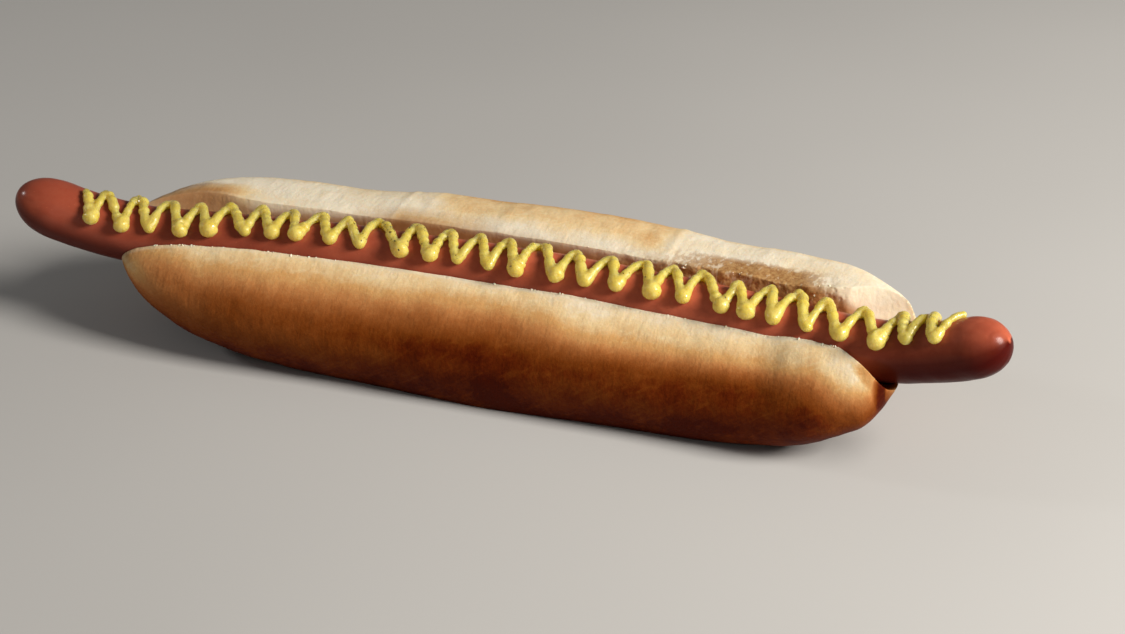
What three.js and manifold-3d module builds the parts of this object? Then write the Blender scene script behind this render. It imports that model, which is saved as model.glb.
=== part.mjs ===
// A long hot dog: a thin curved sausage lying in a long bun that is cut along its top,
// with a zigzag bead of mustard fused along the sausage.
// Millimetres, +X along the sausage, +Y towards the taller wall of the bun, +Z up.
// The bun stands on its flattened underside at z = 0.

import * as THREE from 'three';
import Module from 'manifold-3d';

const wasm = await Module();
wasm.setup();

const TAU = 2 * Math.PI;
const degrees = Math.PI / 180;

// ---------------------------------------------------------------- driving dimensions

// Where the middle of the whole object lies in the sausage's own frame.
const MIDDLE_X = -2.1;
const MIDDLE_Y = 5.45;

const sausage = {
  left: -144,          // centre line's left end, x
  right: 140,          // centre line's right end, x
  height: 30,          // centre line above the table, in the middle
  bend: 670,           // radius of the centre line seen from above
  sag: 0.6,            // how far the centre line sinks by x = sagReach
  sagReach: 100,
  liftReach: 40,       // length over which each end rises by its lift
  liftLeft: 8.7,
  liftLeftStart: -104,
  liftRight: 10.2,
  liftRightStart: 101,
  radiusLeft: 9.05,
  radiusRight: 8.55,
  capLeft: 13.5,       // length of the rounded left end
  capRight: 9.5,       // length of the rounded right end
  powerLeft: 2.3,      // roundness of each end: 2 is an ellipse, more is fuller
  powerRight: 2,
  crowding: 0.9,       // how far the stations crowd towards the tips
  stations: 30,
  sides: 14,
};

const bun = {
  middle: -0.4,        // x of the middle of the bun
  halfLength: 122.6,
  section: 2.35,       // superellipse power of the cross-section
  front: 34.2,         // half widths of the section, before it is rolled
  back: 37.7,
  up: 17.6,
  down: 19.9,
  centreHeight: 18,
  centreBack: 4.5,     // section's centre behind the sausage's centre line
  roll: 17.9 * degrees,
  // Each end: where its tip lies, how blunt it is, and how late the tip's place takes over.
  tipLeft: { height: 30.6, back: 5.0, bluntness: 4.1, ease: 0.63 },
  tipRight: { height: 37.3, back: 2.8, bluntness: 4.7, ease: 0.83 },
  // Soft swells and dents: x, degrees round the section, rise, and reach along the bun.
  swells: [
    { x: -103, angle: 30, rise: 1.1, reach: 12 },
    { x: -58, angle: 30, rise: -2.0, reach: 17 },
    { x: 12, angle: 30, rise: 1.0, reach: 22 },
    { x: 61, angle: 30, rise: -0.8, reach: 13 },
    { x: 99, angle: 30, rise: 1.2, reach: 10 },
    { x: 0, angle: 220, rise: 3.2, reach: 28 },
    { x: 104, angle: 205, rise: 2.6, reach: 15 },
    { x: 66, angle: 150, rise: -2.6, reach: 28 },
    { x: 84, angle: 140, rise: -1.2, reach: 8 },
    { x: 115.5, angle: 210, rise: 6.5, reach: 7 },
    { x: 80, angle: 105, rise: -0.6, reach: 7 },
    { x: 89.5, angle: 105, rise: 0.8, reach: 5 },
  ],
  swellSpread: 40 * degrees,
  stations: 40,
  sides: 28,
};

const slot = {
  gap: 0.5,            // clearance round the sausage
  frontLean: 0.05,     // outward lean of the cut faces, per mm of height
  backLean: 0.16,
  top: 30,             // the cutter ends this far above the sausage's centre
  tear: 0.3,           // depth of the torn crumb on the cut faces
  tearShift: 40,       // the two cut faces are torn alike this far apart
  flare: 0.42,         // outward turn of the front cut face, mm a mm, at the bun's right end
  flareStart: 102.7,
  pastEnds: 6,         // the cutter runs this far past the bun's two ends
  innerHeight: 5,      // height of the cutter's end points over the centre line
  arcSteps: 10,
  backHeights: [4, 8, 12, 16],
  frontHeights: [6, 2],
  stations: 44,
};

const mustard = {
  loops: 28,
  // These wander from loop to loop: a mean, a rise a loop, and sine waves of
  // [size, radians a loop, phase]. Angles are degrees round the sausage, 0 = front, 90 = top.
  lowerX: {
    mean: -129.8,      // the first lower turn's x, before the waves
    rise: 9.73,        // the pitch of the zigzag
    waves: [[1.1, 0.255, 2.8], [0.95, 0.825, -1.33], [0.95, 1.295, 0.62], [0.7, 2.54, 0.55]],
  },
  lowerAngle: { mean: 42.6, waves: [[4.8, 0.5, -1.37], [3.7, 0.344, -1.46]] },
  upperAngle: { mean: 116, waves: [[8, 2.526, -2.35], [12, 1.555, -1.07]] },
  // Where an upper turn lies between two lower turns.
  upperShare: { mean: 0.24, waves: [[0.14, 1.39, -2.33], [0.08, 0.64, -1.88]] },
  // The bead's radius at the lower turns and at the upper turns.
  dropRadius: { mean: 2, least: 1.3, waves: [[0.48, 1.769, 1.64], [0.21, 1.395, -0.31]] },
  hookRadius: { mean: 1.5, waves: [[0.35, 0.42, -1.19]] },
  // The bead starts this far before its first lower turn and ends this far past its last.
  start: { before: 5, angle: 84, radius: 1.13 },
  finish: { past: 5.4, angle: 109.5, radius: 0.95 },
  downRadius: 1.3,     // bead's radius in the strokes that run down
  upRadius: 1.05,      // and in those that run up
  dropReach: 2.765,    // how far a drop's extra girth reaches along the bead
  hookReach: 2.2,
  bedding: 0.75,       // height of the bead's centre over the skin, in bead radii
  easing: 0.6,         // how far a stroke slows down towards its two turns
  hiddenStart: 0.75,   // a stroke starts this much thinner, inside the end of the last one
  dome: 0.7,           // reach and girth of the last ring of a stroke's rounded end
  steps: 4,
  sides: 6,
};

const colours = {
  bun: 0xe0b277,
  sausage: 0x8f3a22,
};

// ---------------------------------------------------------------- solids from grids

/** Turns closed rings between two end points into a manifold solid. */
function solidFromRings(rings, startPoint, endPoint) {
  const count = rings[0].length;
  const points = [startPoint, ...rings.flat(), endPoint];
  const last = points.length - 1;
  const vertex = (i, j) => 1 + i * count + (j % count);
  const triangles = [];
  for (let j = 0; j < count; j += 1) {
    triangles.push(0, vertex(0, j + 1), vertex(0, j));
    triangles.push(last, vertex(rings.length - 1, j), vertex(rings.length - 1, j + 1));
  }
  for (let i = 0; i + 1 < rings.length; i += 1) {
    for (let j = 0; j < count; j += 1) {
      triangles.push(vertex(i, j), vertex(i, j + 1), vertex(i + 1, j + 1));
      triangles.push(vertex(i, j), vertex(i + 1, j + 1), vertex(i + 1, j));
    }
  }
  const mesh = new wasm.Mesh({
    numProp: 3,
    vertProperties: new Float32Array(points.flatMap((p) => [p.x, p.y, p.z])),
    triVerts: new Uint32Array(triangles),
  });
  const solid = new wasm.Manifold(mesh);
  if (solid.volume() < 0) throw new Error('a solid is inside out');
  return solid;
}

/** Makes a named three.js mesh from a manifold solid. */
function meshFromSolid(name, solid, colour, roughness) {
  const data = solid.getMesh();
  const geometry = new THREE.BufferGeometry();
  const stride = data.numProp;
  const positions = new Float32Array(data.numVert * 3);
  for (let i = 0; i < data.numVert; i += 1) {
    for (let k = 0; k < 3; k += 1) positions[3 * i + k] = data.vertProperties[stride * i + k];
  }
  geometry.setAttribute('position', new THREE.BufferAttribute(positions, 3));
  geometry.setIndex(new THREE.BufferAttribute(new Uint32Array(data.triVerts), 1));
  geometry.computeVertexNormals();
  const material = new THREE.MeshStandardMaterial({ color: colour, roughness, metalness: 0 });
  const mesh = new THREE.Mesh(geometry, material);
  mesh.name = name;
  mesh.position.set(-MIDDLE_X, -MIDDLE_Y, 0);
  return mesh;
}

// ---------------------------------------------------------------- sausage

/** The sausage's centre line at x: bent in plan, lifted at both ends. */
function centreLine(x) {
  const pastLeft = Math.max(0, sausage.liftLeftStart - x) / sausage.liftReach;
  const pastRight = Math.max(0, x - sausage.liftRightStart) / sausage.liftReach;
  const lift = sausage.liftLeft * pastLeft ** 2 + sausage.liftRight * pastRight ** 2;
  const y = -(x ** 2) / (2 * sausage.bend);
  const z = sausage.height + lift - sausage.sag * (x / sausage.sagReach) ** 2;
  return new THREE.Vector3(x, y, z);
}

/** Unit vectors at x: along the centre line, square to the front, and square upwards. */
function centreFrame(x) {
  const step = 0.5;
  const along = centreLine(x + step).sub(centreLine(x - step)).normalize();
  const front = new THREE.Vector3().crossVectors(along, new THREE.Vector3(0, 0, 1)).normalize();
  const up = new THREE.Vector3().crossVectors(front, along).normalize();
  return { along, front, up };
}

/** The sausage's radius in its straight part at x. */
function bodyRadius(x) {
  const share = (x - sausage.left) / (sausage.right - sausage.left);
  return THREE.MathUtils.lerp(sausage.radiusLeft, sausage.radiusRight, share);
}

/** A point at an angle round the sausage (0 = front, 90 degrees = top) and a distance out. */
function roundSausage(x, angle, distance) {
  const { front, up } = centreFrame(x);
  return centreLine(x)
    .addScaledVector(front, distance * Math.cos(angle))
    .addScaledVector(up, distance * Math.sin(angle));
}

/** The sausage alone: rings square to the centre line, drawn in to a rounded tip at each end. */
function sausageSolid() {
  const tipLeft = sausage.left - sausage.radiusLeft;
  const tipRight = sausage.right + sausage.radiusRight;
  const rings = [];
  for (let i = 1; i < sausage.stations; i += 1) {
    // Stations crowd towards the tips, where the radius changes fastest.
    const share = i / sausage.stations;
    const crowd = share - (sausage.crowding * Math.sin(TAU * share)) / TAU;
    const x = THREE.MathUtils.lerp(tipLeft, tipRight, crowd);
    const fromLeft = Math.min(1, (x - tipLeft) / sausage.capLeft);
    const fromRight = Math.min(1, (tipRight - x) / sausage.capRight);
    const narrowLeft = Math.sqrt(1 - (1 - fromLeft) ** sausage.powerLeft);
    const narrowRight = Math.sqrt(1 - (1 - fromRight) ** sausage.powerRight);
    const radius = bodyRadius(x) * narrowLeft * narrowRight;
    const ring = [];
    for (let j = 0; j < sausage.sides; j += 1) {
      ring.push(roundSausage(x, (-TAU * j) / sausage.sides, radius));
    }
    rings.push(ring);
  }
  return solidFromRings(rings, centreLine(tipLeft), centreLine(tipRight));
}

// ---------------------------------------------------------------- mustard

/** A quantity that wanders from loop to loop, at loop k. */
function varied({ mean, rise = 0, least = -Infinity, waves }, k) {
  const sway = waves.reduce((sum, [size, rate, phase]) => sum + size * Math.sin(rate * k + phase), 0);
  return Math.max(least, mean + rise * k + sway);
}

/** The bead's turns in order, each with its x, its angle and whether it is a lower turn. */
function mustardTurns() {
  const { loops, start, finish } = mustard;
  const lowerX = (k) => varied(mustard.lowerX, k);
  const turns = [{ ...start, x: lowerX(0) - start.before, low: false }];
  for (let k = 0; k < loops; k += 1) {
    const x = lowerX(k);
    const angle = varied(mustard.lowerAngle, k);
    turns.push({ x, angle, radius: varied(mustard.dropRadius, k), low: true });
    if (k + 1 < loops) {
      turns.push({
        x: THREE.MathUtils.lerp(x, lowerX(k + 1), varied(mustard.upperShare, k)),
        angle: varied(mustard.upperAngle, k),
        radius: varied(mustard.hookRadius, k),
        low: false,
      });
    }
  }
  turns.push({ ...finish, x: lowerX(loops - 1) + finish.past, low: false });
  return turns.map((turn) => ({ ...turn, angle: turn.angle * degrees }));
}

/** Radius of a stroke at a distance from its start and from its end, swelling at both turns. */
function beadRadius(stroke, from, to, fromStart, fromEnd) {
  const reach = (turn) => (turn.low ? mustard.dropReach : mustard.hookReach);
  const atStart = Math.exp(-((fromStart / reach(from)) ** 2));
  const atEnd = Math.exp(-((fromEnd / reach(to)) ** 2));
  return stroke + (from.radius - stroke) * atStart + (to.radius - stroke) * atEnd;
}

/** One stroke of the bead between two turns, as a round tube that ends in a dome. */
function strokeSolid(from, to) {
  const stroke = to.low ? mustard.downRadius : mustard.upRadius;
  const length = Math.hypot(to.x - from.x, bodyRadius(from.x) * (to.angle - from.angle));
  const centres = [];
  const radii = [];
  for (let i = 0; i <= mustard.steps; i += 1) {
    const t = i / mustard.steps;
    const eased = THREE.MathUtils.lerp(t, (1 - Math.cos(Math.PI * t)) / 2, mustard.easing);
    const x = THREE.MathUtils.lerp(from.x, to.x, t);
    const angle = THREE.MathUtils.lerp(from.angle, to.angle, eased);
    const radius = beadRadius(stroke, from, to, length * t, length * (1 - t));
    centres.push(roundSausage(x, angle, bodyRadius(x) + mustard.bedding * radius));
    radii.push(i === 0 ? radius * mustard.hiddenStart : radius);
  }
  return tubeSolid(centres, radii, mustard.sides);
}

/** A tube of round rings along a short path, with a domed cap at its far end. */
function tubeSolid(centres, radii, sides) {
  const last = centres.length - 1;
  const outwards = centres[0].clone().sub(centreLine(centres[0].x));
  const rings = [];
  const addRing = (index, reach, girth) => {
    const next = centres[Math.min(index + 1, last)];
    const before = centres[Math.max(index - 1, 0)];
    const along = next.clone().sub(before).normalize();
    const side = new THREE.Vector3().crossVectors(outwards, along).normalize();
    const top = new THREE.Vector3().crossVectors(along, side);
    const centre = centres[index].clone().addScaledVector(along, reach * radii[index]);
    const ring = [];
    for (let j = 0; j < sides; j += 1) {
      const turn = (-TAU * j) / sides;
      ring.push(centre.clone()
        .addScaledVector(side, girth * radii[index] * Math.cos(turn))
        .addScaledVector(top, -girth * radii[index] * Math.sin(turn)));
    }
    rings.push(ring);
    return centres[index].clone().addScaledVector(along, Math.sign(reach) * radii[index]);
  };
  for (let i = 0; i <= last; i += 1) addRing(i, 0, 1);
  const end = addRing(last, mustard.dome, mustard.dome);
  return solidFromRings(rings, centres[0], end);
}

/** Every stroke of the zigzag. */
function mustardStrokes() {
  const turns = mustardTurns();
  return turns.slice(1).map((turn, index) => strokeSolid(turns[index], turn));
}

// ---------------------------------------------------------------- bun

/** Raises a number to a power, keeping its sign. */
function signedPower(value, power) {
  return Math.sign(value) * Math.abs(value) ** power;
}

/** How far the crust swells out or is dented at x, at an angle round the section. */
function swellAt(x, angle) {
  return bun.swells.reduce((sum, { x: centre, angle: towards, rise, reach }) => {
    const off = Math.atan2(Math.sin(angle - towards * degrees), Math.cos(angle - towards * degrees));
    return sum + rise * Math.exp(-(((x - centre) / reach) ** 2) - (off / bun.swellSpread) ** 2);
  }, 0);
}

/** A point on the uncut bun: share runs from -1 to 1 along it, angle round its section. */
function bunPoint(share, angle) {
  const tip = share < 0 ? bun.tipLeft : bun.tipRight;
  const size = Math.sqrt(Math.max(0, 1 - Math.abs(share) ** tip.bluntness));
  const towardsTip = (1 - size) ** tip.ease;
  const x = bun.middle + bun.halfLength * share;
  const centreZ = THREE.MathUtils.lerp(bun.centreHeight, tip.height, towardsTip);
  const centreY = THREE.MathUtils.lerp(bun.centreBack, tip.back, towardsTip);
  const across = Math.cos(angle);
  const upward = Math.sin(angle);
  const power = 2 / bun.section;
  const halfWidth = across < 0 ? bun.front : bun.back;
  const halfHeight = upward > 0 ? bun.up : bun.down;
  const swell = swellAt(x, angle);
  const w = size * (halfWidth * signedPower(across, power) + swell * across);
  const h = size * (halfHeight * signedPower(upward, power) + swell * upward);
  const y = centreLine(x).y + centreY + w * Math.cos(bun.roll) - h * Math.sin(bun.roll);
  const z = centreZ + w * Math.sin(bun.roll) + h * Math.cos(bun.roll);
  return new THREE.Vector3(x, y, Math.max(0, z));
}

/** The bun before it is cut: a rolled egg-shaped section swept to two rounded ends. */
function uncutBun() {
  const rings = [];
  for (let i = 1; i < bun.stations; i += 1) {
    const share = -Math.cos((Math.PI * i) / bun.stations);
    const ring = [];
    for (let j = 0; j < bun.sides; j += 1) {
      ring.push(bunPoint(share, (TAU * (j + 0.5)) / bun.sides));
    }
    rings.push(ring);
  }
  return solidFromRings(rings, bunPoint(-1, 0), bunPoint(1, 0));
}

/** Depth of the torn crumb at a place on a cut face, from two slanting waves. */
function tearDepth(x, height) {
  const coarse = Math.sin(0.53 * x + 0.7 * height) + Math.sin(0.91 * x - 1.1 * height + 2);
  return Math.abs((slot.tear * coarse) / 2);
}

/** How far the front cut face turns outwards at x, towards the bun's right end. */
function frontFlare(x) {
  return slot.flare * Math.max(0, x - slot.flareStart);
}

/** The cutter for the slot: a trough round the sausage that opens upwards. */
function slotCutter() {
  const start = bun.middle - bun.halfLength - slot.pastEnds;
  const end = bun.middle + bun.halfLength + slot.pastEnds;
  const rings = [];
  for (let i = 0; i <= slot.stations; i += 1) {
    const x = THREE.MathUtils.lerp(start, end, i / slot.stations);
    const centre = centreLine(x);
    const reach = bodyRadius(x) + slot.gap;
    const flare = frontFlare(x);
    const at = (y, z) => new THREE.Vector3(x, centre.y + y, centre.z + z);
    const ring = [];
    for (let j = 0; j <= slot.arcSteps; j += 1) {
      const angle = Math.PI + (Math.PI * j) / slot.arcSteps;
      const across = Math.cos(angle);
      ring.push(at(reach * across + flare * Math.min(0, across), reach * Math.sin(angle)));
    }
    for (const height of slot.backHeights) {
      ring.push(at(reach + slot.backLean * height + tearDepth(x, height), height));
    }
    ring.push(at(reach + slot.backLean * slot.top, slot.top));
    ring.push(at(-reach - flare - slot.frontLean * slot.top, slot.top));
    for (const height of slot.frontHeights) {
      const tear = tearDepth(x + slot.tearShift, height);
      ring.push(at(-reach - flare - slot.frontLean * height - tear, height));
    }
    rings.push(ring);
  }
  const inside = (x) => centreLine(x).setZ(centreLine(x).z + slot.innerHeight);
  return solidFromRings(rings, inside(start), inside(end));
}

// ---------------------------------------------------------------- the hot dog

const sausageWithMustard = wasm.Manifold.union([sausageSolid(), ...mustardStrokes()]);
const openBun = uncutBun().subtract(slotCutter());

const hotDog = new THREE.Group();
hotDog.name = 'hot_dog';
hotDog.add(meshFromSolid('bun', openBun, colours.bun, 0.7));
hotDog.add(meshFromSolid('sausage', sausageWithMustard, colours.sausage, 0.35));

export default hotDog;
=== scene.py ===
"""A long hot dog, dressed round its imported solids: bread with crust and torn crumb, a moist
sausage skin, and a glossy zigzag bead of mustard with dark flecks.

Sizes are in millimetres until a mesh is made, and in metres from there on.
+X runs along the sausage, +Y towards the taller back wall of the bun, +Z up.
Shapes are worked out in the sausage's own frame, then shifted by MIDDLE.
"""

import math

import bpy
import numpy as np
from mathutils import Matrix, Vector


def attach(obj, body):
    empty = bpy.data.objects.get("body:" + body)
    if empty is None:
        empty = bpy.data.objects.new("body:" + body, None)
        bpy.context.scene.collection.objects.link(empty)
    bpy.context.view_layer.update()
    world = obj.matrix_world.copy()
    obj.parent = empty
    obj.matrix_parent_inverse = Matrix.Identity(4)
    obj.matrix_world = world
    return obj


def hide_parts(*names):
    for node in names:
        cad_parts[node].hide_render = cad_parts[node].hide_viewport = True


MM = 0.001
TAU = 2 * math.pi
MIDDLE = np.array([-2.1, 5.45, 0.0])

# ----- sizes and places

class Sizes:
    """Values by name."""

    def __init__(self, **values):
        for name, value in values.items():
            setattr(self, name, value)


# Left and right end the sausage's straight part. Bend is its radius in plan. Sag and lift are the
# height that it loses or gains in one reach. A cap is the length of a rounded end. Stations crowd
# towards both ends.
SAUSAGE = Sizes(
    left=-144, right=140, height=30, bend=670, sag=0.6, sag_reach=100, lift_reach=40,
    lift_left=8.7, lift_left_start=-104, lift_right=10.2, lift_right_start=101,
    radius_left=9.05, radius_right=8.55, cap_left=13.5, cap_right=9.5,
    power_left=2.3, power_right=2.0, crowding=0.9, stations=420, sides=72,
)

# Painted shade darkens the skin: low down past the bun's left end, and all round towards and past
# its right end, most below. The skin is also riper towards the right. Pairs are where that starts
# and is full, along x or in degrees up from the front, as in shade: degrees, share.
SKIN = Sizes(
    painted_shade_right=(92, 124), painted_shade_left=(-92, -116), painted_shade_left_share=0.8, painted_shade_left_below=(20, -24),
    ripe=(-110, 60),
    shade=[(-20, 1), (0, 0.93), (20, 0.68), (40, 0.5), (60, 0.42), (85, 0.3)],
)

# Front, back, up and down are the half sizes of the bun's section, a superellipse of the power
# given as section. Crowding draws its points towards its top. Relief fades in above the table.
BUN = Sizes(
    middle=-0.4, half_length=122.6, section=2.35, front=34.2, back=37.7, up=17.6, down=19.9,
    centre_height=18, centre_back=4.5, roll=math.radians(17.9), swell_spread=math.radians(40),
    stations=400, sides=208, crowding=0.5, relief_height=(0, 2.5),
)

# A tip's height, its place behind the sausage's centre line, how late the bun narrows towards it,
# and how early its sections rise to it.
TIP_LEFT = dict(height=30.6, back=5.0, bluntness=4.1, ease=0.63)
TIP_RIGHT = dict(height=37.3, back=2.8, bluntness=4.7, ease=0.83)

# Soft swells and dents of the crust: x, degrees round the section, rise, reach along the bun.
SWELLS = [
    (-103, 30, 1.1, 12), (-58, 30, -2.0, 17), (12, 30, 1.0, 22), (61, 30, -0.8, 13),
    (99, 30, 1.2, 10), (0, 220, 3.2, 28), (104, 205, 2.6, 15), (66, 150, -2.6, 28),
    (84, 140, -1.2, 8), (115.5, 210, 6.5, 7), (80, 105, -0.3, 7), (89.5, 105, 0.5, 5),
]

# Shallow creases across the back wall's crest: x, depth, half width, lean along x per mm up.
CREASES = [
    (-41.5, 0.22, 0.9, 0.1), (-33.0, 0.1, 1.3, 0.1), (-8.0, 0.12, 2.0, -0.1),
    (44.0, 0.2, 1.1, 0.15), (72.0, 0.1, 1.4, 0.1), (-66.0, 0.12, 2.5, 0.0),
]
CREST_HEIGHT = 38

# The slot: its gap round the sausage, and how its walls lean, flare outwards at the right end and,
# behind, round off towards the crest. Pairs are where a change starts and is full, along x or in
# height over the sausage's centre line. The shares are how deep the back wall's tears are outside
# its torn stretch, and how much deeper in it.
SLOT = Sizes(
    gap=0.3, front_lean=0.05, back_lean=0.16, top=30, flare=0.42, flare_start=102.7,
    rounding=0.045, round_from=7, end_lean=0.32, lean_right=(86, 112), lean_left=(-80, -110),
    end_flare=0.35, end_flare_start=100, end_flare_height=(-2, 5),
    torn_from=(12, 48), torn_to=(104, 95), torn_height=(1.5, 6), least_depth=-0.2,
    smooth_share=0.05, torn_share=0.6,
    past_ends=6, inner_height=5,
    stations=460, arc_steps=26, back_steps=40, front_steps=30, wall=17,
)

# The bead is thin along its strokes down and up, and swells within a reach of each turn. Bedding
# is how far its middle stands off the skin, as a share of its radius. Its path and radius are
# softened, and its remesh and smoothing take off about as much as smoothing_loss adds.
MUSTARD = Sizes(
    loops=28, down_radius=1.3, up_radius=1.05, drop_reach=2.765, hook_reach=2.2, bedding=0.75,
    easing=0.6, start_before=5, start_angle=84, start_radius=1.13,
    finish_past=5.4, finish_angle=109.5, finish_radius=0.95, least_drop=1.3,
    stroke_steps=40, spacing=0.25, soft_path=0.55, soft_radius=0.4, smoothing_loss=0.2,
    sides=14, dome_steps=6, voxel=0.33, smoothing_steps=3,
)

# How the bead's turns wander from loop to loop: a mean, a rise a loop, and sine waves of
# (size, radians a loop, phase). Angles are degrees round the sausage, 0 = front, 90 = top.
LOWER_X = (-129.8, 9.73, [(1.1, 0.255, 2.8), (0.95, 0.825, -1.33), (0.95, 1.295, 0.62),
                          (0.7, 2.54, 0.55)])
LOWER_ANGLE = (42.6, 0, [(4.8, 0.5, -1.37), (3.7, 0.344, -1.46)])
UPPER_ANGLE = (116, 0, [(8, 2.526, -2.35), (12, 1.555, -1.07)])
UPPER_SHARE = (0.24, 0, [(0.14, 1.39, -2.33), (0.08, 0.64, -1.88)])
DROP_RADIUS = (2.08, 0, [(0.48, 1.769, 1.64), (0.21, 1.395, -0.31)])
HOOK_RADIUS = (1.5, 0, [(0.35, 0.42, -1.19)])

# Random relief, in layers of (height, wavelength, seed). The bead's are shares of its radius.
SKIN_LUMPS = [(0.12, 26, 3), (0.045, 7, 4)]
CRUST_LUMPS = [(0.16, 22, 21), (0.05, 6, 22)]
BEAD_LUMPS = [(0.07, 6, 10), (0.12, 2.6, 11), (0.07, 1.1, 12)]

# How baked the crust is, with painted shade in it: low down, the front is darker than baking alone
# makes it, for the shade there. Angles round the section run over the top: 110 at the front edge, 80
# at the back one, 0 behind, 270 below. Down_back is by degrees down from the back edge. Along x,
# late and later_above are how many degrees later it bakes, all over and on the front's upper part,
# and paler is how much paler the sides are, round an angle and within a reach. Turn and turn_end
# bound a painted shadow of the sausage's right end on the front wall's end, and the next value is
# how dark.
BAKE_AND_SHADE = Sizes(
    down_front=[(98, 0.08), (108, 0.18), (112, 0.26), (120, 0.41), (128, 0.58), (136, 0.73),
                (144, 0.87), (152, 0.92), (164, 0.92), (176, 0.96), (186, 1.0)],
    down_back=[(0, 0.02), (40, 0.04), (56, 0.18), (72, 0.36), (90, 0.60), (110, 0.84),
               (140, 0.97)],
    late=[(-98, 0), (-90, 4), (-75, 0), (68, 0), (82, 2.6), (97, 10.5), (112, 44), (121, 50)],
    later_above=[(-60, 3), (-35, 3), (-20, 0), (8, 0), (30, 9), (70, 9), (90, 5), (112, 0)],
    paler=[(-121, 0.75), (-113, 0.73), (-98, 0.36), (-83, 0.12), (-35, 0.06), (-8, -0.07),
           (25, 0.04), (60, -0.02), (97, 0.05), (112, 0.3)],
    paler_front=(155, 32), paler_back=(115, 45), late_behind=0.6,
    hinge=(117, 119.5), hinge_bake=0.3, turn=(112.5, 116), turn_end=(118.2, 117), turn_painted_shadow=0.98,
)

# Patches low on the front crust where bake and painted shade are made a little more or less:
# share, x and reach, angle and reach.
BAKE_AND_SHADE_PATCHES = [(-0.045, 44, 30, 178, 12), (0.08, 99, 9, 176, 16)]

# How high over the sausage's centre line the back wall is tan, as (x, height), how softly that ends,
# how near the cut face, and how much paler it is at the left end. The tan is partly the crumb's own
# and partly painted shade beside the sausage.
TAN = Sizes(
    heights=[(-105, 12), (-96, 11), (-84, 7), (-60, 7), (-38, 9), (-22, 8.5), (22, 7.5), (40, 7.5),
             (66, 11.5), (84, 12), (97, 9), (108, 2)],
    softness=2.6, near=(9, 5), paler=0.3, paler_at=(-70, -95),
)

# The bread's marks. Pairs are where one starts and is full: by the gap to the cut faces for cut,
# edge and turned_gap, or along x. The cut faces lie within the walls' reach of the sausage's line.
MARKS = Sizes(
    walls=22, cut=(1.3, 0.7), cut_above=8, edge=(1.8, 0.5), front_rough=(-50, 0),
    turned_in=(104, 111), turned_gap=(3.5, 1.5), turned_bake=0.32,
)

# Scattered bits: how many, their radii, with a skew towards the least, how deep they are sunk, how
# flat and lumpy they are, how likely all along, and where they crowd: bells of (share, x, reach).
FLECKS = Sizes(
    count=110, least=0.13, most=0.34, skew=1, sunk=0.05, flatness=0.45, lumpiness=0.25, seed=5,
    spread=0.015, crowds=[(1, -37, 9), (0.12, -12, 12), (0.08, 125, 9), (0.03, 40, 30)],
)
CRUMBS = Sizes(
    count=300, least=0.08, most=0.48, skew=3, sunk=0.06, flatness=0.7, lumpiness=0.4, seed=8,
    spread=0.15, edge_gap=0.8, edge_angle=108, edge_reach=9, back_gap=1.2, back_height=6,
    crowds=[(1.2, -98, 3), (0.8, -101, 14), (1, 14, 9), (0.8, -60, 12), (0.5, 100, 14)],
)


# ----- small tools

def smooth(low, high, value):
    """Smoothstep: 0 at low, 1 at high, soft between and level beyond; low may be the larger."""
    t = np.clip((value - low) / (high - low), 0, 1)
    return t * t * (3 - 2 * t)


def hill(centre, reach, value):
    """A bell: 1 at the centre, falling to 1/e at one reach."""
    return np.exp(-(((value - centre) / reach) ** 2))


def hills(value, bells, level=0):
    """A level with bells on it, each given as (share, centre, reach)."""
    return sum((share * hill(centre, reach, value) for share, centre, reach in bells), level)


def read_off(value, pairs):
    """What a list of (place, result) pairs gives at a value, with straight lines between them."""
    at, results = zip(*pairs)
    return np.interp(value, at, results)


def signed_power(value, power):
    """A power that keeps the sign."""
    return np.sign(value) * np.abs(value) ** power


def unit(vectors):
    """Vectors of the same directions with a length of 1."""
    return vectors / np.linalg.norm(vectors, axis=-1, keepdims=True)


def waves(points, length, seed, count=28):
    """Smooth random relief of about -1 to 1: plane sine waves in seeded directions, each with a
    wavelength between 0.6 and 1.7 times the given length."""
    rng = np.random.default_rng(seed)
    direction = unit(rng.normal(size=(count, 3)))
    number = TAU / (length * rng.uniform(0.6, 1.7, count))
    phase = rng.uniform(0, TAU, count)
    total = np.zeros(points.shape[:-1])
    for k in range(count):
        total += np.sin(points @ (direction[k] * number[k]) + phase[k])
    return total / math.sqrt(count)


def layered(points, layers, level=0):
    """A level with random relief on it, in layers of (height, wavelength, seed)."""
    return sum((height * waves(points, length, seed) for height, length, seed in layers), level)


def corners(*parts):
    """Faces as rows of corners, from an array or a number for each corner."""
    return np.stack(np.broadcast_arrays(*parts), -1).reshape(-1, len(parts))


def put_mesh(name, points, faces, material=None):
    """A smooth object from points in millimetres in the sausage's frame and a list of faces."""
    mesh = bpy.data.meshes.new(name)
    mesh.from_pydata(((points - MIDDLE) * MM).tolist(), [], faces)
    if material is not None:
        mesh.materials.append(material)
    mesh.shade_smooth()
    piece = bpy.data.objects.new(name, mesh)
    bpy.context.scene.collection.objects.link(piece)
    return piece


def put_rings(name, rings, ends, material=None):
    """An object whose skin runs over rings (stations, sides, 3), drawn to a point at both ends."""
    stations, sides = rings.shape[:2]
    points = np.concatenate([rings.reshape(-1, 3), ends])
    i, j = np.meshgrid(np.arange(stations - 1), np.arange(sides), indexing="ij")
    a = i * sides + j
    b = i * sides + (j + 1) % sides
    side = np.arange(sides)
    following = (side + 1) % sides
    tip = stations * sides
    last_ring = tip - sides
    faces = corners(a, b, b + sides, a + sides).tolist()
    faces += corners(tip, following, side).tolist()
    faces += corners(tip + 1, last_ring + side, last_ring + following).tolist()
    return put_mesh(name, points, faces, material)


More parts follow.
